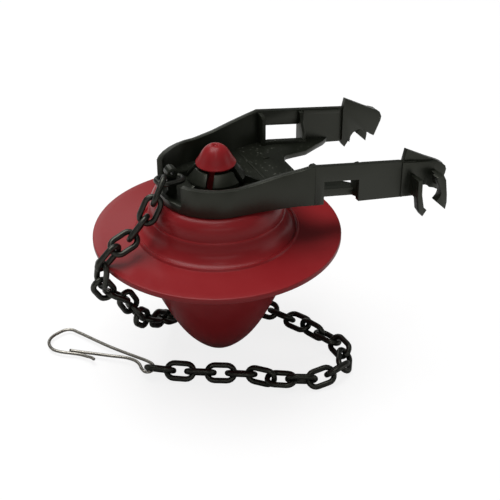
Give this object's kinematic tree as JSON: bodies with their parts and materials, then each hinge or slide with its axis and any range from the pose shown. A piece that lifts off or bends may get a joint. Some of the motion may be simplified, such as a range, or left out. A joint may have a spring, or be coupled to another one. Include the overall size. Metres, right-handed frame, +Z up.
{
  "type": "toilet flapper",
  "caption": "Flush valve flapper with a hollow rubber seal in a plastic hinge frame, and a plastic chain that ends in a wire hook.",
  "frame": {"origin": "middle of the hinge axis, on which the two pegs of the overflow tube sit", "axes": "+X points from the seal towards the hinge ears, +Y runs along the hinge axis to the left arm, and +Z is up with the valve shut"},
  "size_m": [0.1299, 0.083, 0.0803],
  "materials": {
    "frame_plastic": "black moulded plastic with a soft sheen",
    "red_rubber": "deep red moulded rubber, satin",
    "chain_plastic": "black moulded plastic, slightly glossy",
    "hook_steel": "drawn stainless wire"
  },
  "bodies": {
    "root": {"frame": "frame_plastic", "seal": "red_rubber", "link_01": "chain_plastic", "link_02": "chain_plastic", "link_03": "chain_plastic", "link_04": "chain_plastic", "link_05": "chain_plastic", "link_06": "chain_plastic", "link_07": "chain_plastic", "link_08": "chain_plastic", "link_09": "chain_plastic", "link_10": "chain_plastic", "link_11": "chain_plastic", "link_12": "chain_plastic", "link_13": "chain_plastic", "link_14": "chain_plastic", "link_15": "chain_plastic", "link_16": "chain_plastic", "link_17": "chain_plastic", "link_18": "chain_plastic", "link_19": "chain_plastic", "link_20": "chain_plastic", "link_21": "chain_plastic", "link_22": "chain_plastic", "link_23": "chain_plastic", "link_24": "chain_plastic", "link_25": "chain_plastic", "link_26": "chain_plastic", "link_27": "chain_plastic", "link_28": "chain_plastic", "link_29": "chain_plastic", "link_30": "chain_plastic", "link_31": "chain_plastic", "link_32": "chain_plastic", "link_33": "chain_plastic", "link_34": "chain_plastic", "link_35": "chain_plastic", "link_36": "chain_plastic", "link_37": "chain_plastic", "wire_hook": "hook_steel"}
  },
  "joints": []
}
